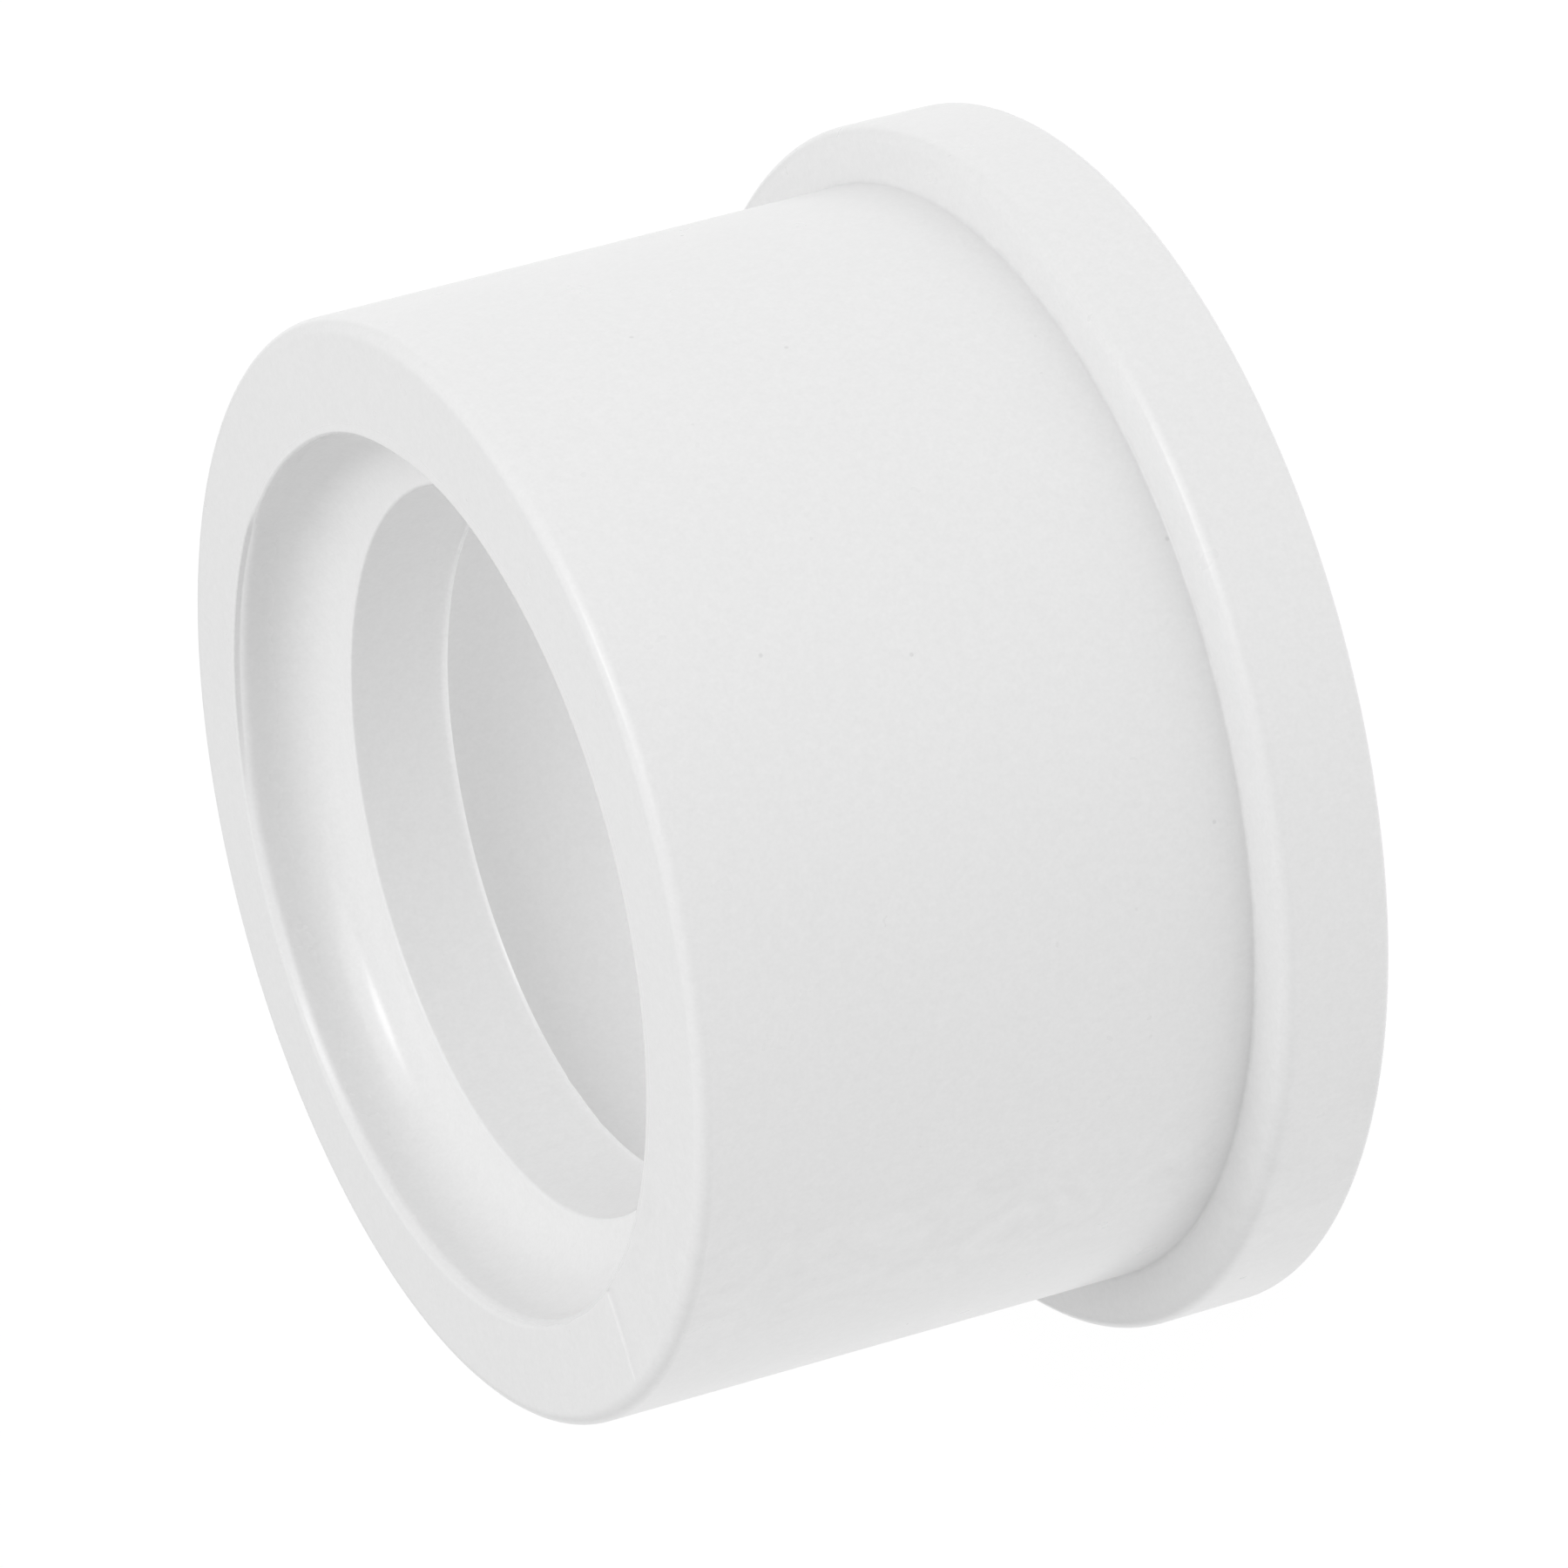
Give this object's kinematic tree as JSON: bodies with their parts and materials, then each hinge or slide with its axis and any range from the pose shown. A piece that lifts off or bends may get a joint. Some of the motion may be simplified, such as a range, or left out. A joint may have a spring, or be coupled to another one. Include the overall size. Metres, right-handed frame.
{
  "type": "pipe reducer bushing",
  "caption": "White moulded pipe reducer bushing: a collared spigot that cements into a fitting, open right through, with a socket and pipe stop for a smaller pipe.",
  "frame": {"origin": "centre of the collar end face, on the bore axis, where the part stands", "axes": "+Z along the bore axis, from the collar end towards the spigot end; the part is round, so X and Y are any two square directions"},
  "size_m": [0.0666, 0.0666, 0.0385],
  "materials": {
    "white_pvc": "satin"
  },
  "bodies": {
    "root": {"reducer_bushing": "white_pvc"}
  },
  "joints": []
}
